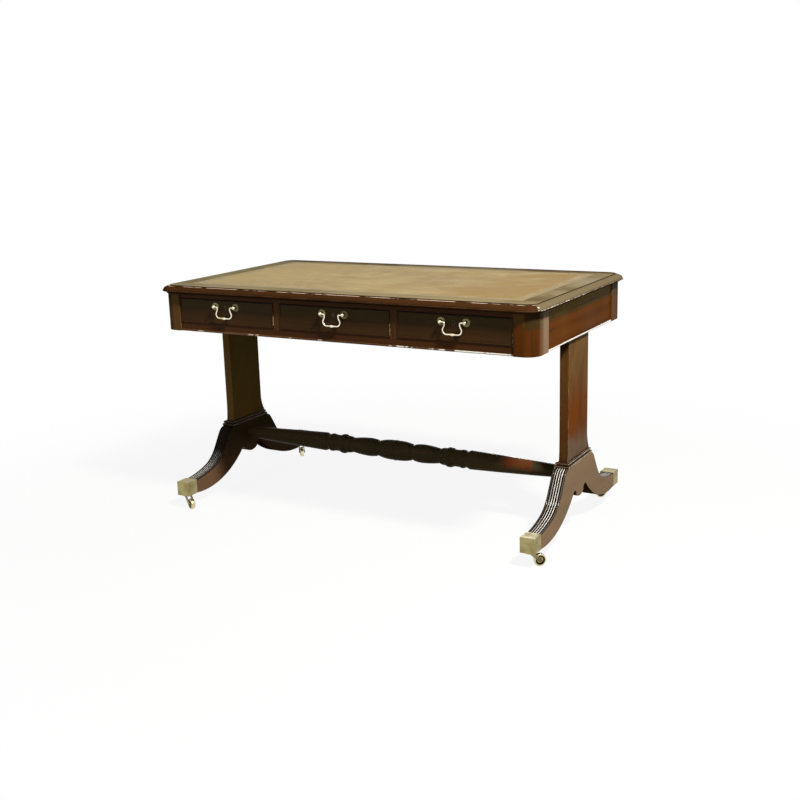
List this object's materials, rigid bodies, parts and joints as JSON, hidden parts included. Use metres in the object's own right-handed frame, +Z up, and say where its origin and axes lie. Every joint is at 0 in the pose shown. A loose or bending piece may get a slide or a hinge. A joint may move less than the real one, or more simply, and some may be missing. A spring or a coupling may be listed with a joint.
{
  "type": "writing desk",
  "caption": "Mahogany library writing desk with a leather top, frieze drawers with bail handles, and swept end standards on castors joined by a turned stretcher.",
  "frame": {"origin": "on the floor, under the middle of the desk", "axes": "+Z up, +X along the desk, -Y towards the sitter and the drawer fronts"},
  "size_m": [1.316, 0.747, 0.752],
  "materials": {
    "mahogany": "dark, waxed and polished",
    "drawer_lining": "plain, unpolished",
    "leather": "worn tan hide with a gilt line",
    "brass": "old polished brass",
    "steel": "plain screws"
  },
  "bodies": {
    "frame": {"apron_beads": "mahogany", "cap_screws": "brass", "collar_left": "mahogany", "collar_right": "mahogany", "corner_post_front_left": "mahogany", "corner_post_front_right": "mahogany", "corner_post_rear_left": "mahogany", "corner_post_rear_right": "mahogany", "drawer_dividers": "mahogany", "drawer_runners": "drawer_lining", "drawer_stops": "drawer_lining", "end_rail_left": "mahogany", "end_rail_right": "mahogany", "foot_left": "mahogany", "foot_right": "mahogany", "front_bottom_rail": "mahogany", "front_top_rail": "mahogany", "rear_rail": "mahogany", "stretcher": "mahogany", "toe_cap_front_left": "brass", "toe_cap_front_right": "brass", "toe_cap_rear_left": "brass", "toe_cap_rear_right": "brass", "top_board": "mahogany", "top_screws": "steel", "upright_left": "mahogany", "upright_right": "mahogany", "writing_leather": "leather"},
    "drawer_left": {"cockbeads_left": "mahogany", "drawer_back_left": "drawer_lining", "drawer_bottom_left": "drawer_lining", "drawer_front_left": "mahogany", "drawer_lock_left": "brass", "drawer_sides_left": "drawer_lining", "handle_mounts_left": "brass"},
    "bail_left": {"handle_bail_left": "brass"},
    "drawer_middle": {"cockbeads_middle": "mahogany", "drawer_back_middle": "drawer_lining", "drawer_bottom_middle": "drawer_lining", "drawer_front_middle": "mahogany", "drawer_lock_middle": "brass", "drawer_sides_middle": "drawer_lining", "handle_mounts_middle": "brass"},
    "bail_middle": {"handle_bail_middle": "brass"},
    "drawer_right": {"cockbeads_right": "mahogany", "drawer_back_right": "drawer_lining", "drawer_bottom_right": "drawer_lining", "drawer_front_right": "mahogany", "drawer_lock_right": "brass", "drawer_sides_right": "drawer_lining", "handle_mounts_right": "brass"},
    "bail_right": {"handle_bail_right": "brass"},
    "castor_front_left": {"castor_fork_front_left": "brass"},
    "wheel_front_left": {"castor_wheel_front_left": "brass"},
    "castor_front_right": {"castor_fork_front_right": "brass"},
    "wheel_front_right": {"castor_wheel_front_right": "brass"},
    "castor_rear_left": {"castor_fork_rear_left": "brass"},
    "wheel_rear_left": {"castor_wheel_rear_left": "brass"},
    "castor_rear_right": {"castor_fork_rear_right": "brass"},
    "wheel_rear_right": {"castor_wheel_rear_right": "brass"}
  },
  "joints": [
    {"name": "drawer_left_slide", "type": "slide", "parent": "frame", "child": "drawer_left", "axis": [0, -1, 0], "range_m": [0, 0.42]},
    {"name": "bail_left_swing", "type": "hinge", "parent": "drawer_left", "child": "bail_left", "pos_m": [-0.396, -0.3655, 0.693], "axis": [-1, 0, 0], "range_deg": [-10, 120]},
    {"name": "drawer_middle_slide", "type": "slide", "parent": "frame", "child": "drawer_middle", "axis": [0, -1, 0], "range_m": [0, 0.42]},
    {"name": "bail_middle_swing", "type": "hinge", "parent": "drawer_middle", "child": "bail_middle", "pos_m": [0, -0.3655, 0.693], "axis": [-1, 0, 0], "range_deg": [-10, 120]},
    {"name": "drawer_right_slide", "type": "slide", "parent": "frame", "child": "drawer_right", "axis": [0, -1, 0], "range_m": [0, 0.42]},
    {"name": "bail_right_swing", "type": "hinge", "parent": "drawer_right", "child": "bail_right", "pos_m": [0.396, -0.3655, 0.693], "axis": [-1, 0, 0], "range_deg": [-10, 120]},
    {"name": "castor_front_left_swivel", "type": "hinge", "parent": "frame", "child": "castor_front_left", "pos_m": [-0.6185, -0.339, 0.046], "axis": [0, 0, 1], "continuous": true},
    {"name": "wheel_front_left_spin", "type": "hinge", "parent": "castor_front_left", "child": "wheel_front_left", "pos_m": [-0.59378, -0.35215, 0.0185], "axis": [0.4695, 0.8829, 0], "continuous": true},
    {"name": "castor_front_right_swivel", "type": "hinge", "parent": "frame", "child": "castor_front_right", "pos_m": [0.6185, -0.339, 0.046], "axis": [0, 0, 1], "continuous": true},
    {"name": "wheel_front_right_spin", "type": "hinge", "parent": "castor_front_right", "child": "wheel_front_right", "pos_m": [0.63995, -0.321, 0.0185], "axis": [-0.6428, 0.766, 0], "continuous": true},
    {"name": "castor_rear_left_swivel", "type": "hinge", "parent": "frame", "child": "castor_rear_left", "pos_m": [-0.6185, 0.339, 0.046], "axis": [0, 0, 1], "continuous": true},
    {"name": "wheel_rear_left_spin", "type": "hinge", "parent": "castor_rear_left", "child": "wheel_rear_left", "pos_m": [-0.6005, 0.31755, 0.0185], "axis": [0.766, 0.6428, 0], "continuous": true},
    {"name": "castor_rear_right_swivel", "type": "hinge", "parent": "frame", "child": "castor_rear_right", "pos_m": [0.6185, 0.339, 0.046], "axis": [0, 0, 1], "continuous": true},
    {"name": "wheel_rear_right_spin", "type": "hinge", "parent": "castor_rear_right", "child": "wheel_rear_right", "pos_m": [0.59556, 0.32294, 0.0185], "axis": [0.5736, -0.8192, 0], "continuous": true}
  ]
}
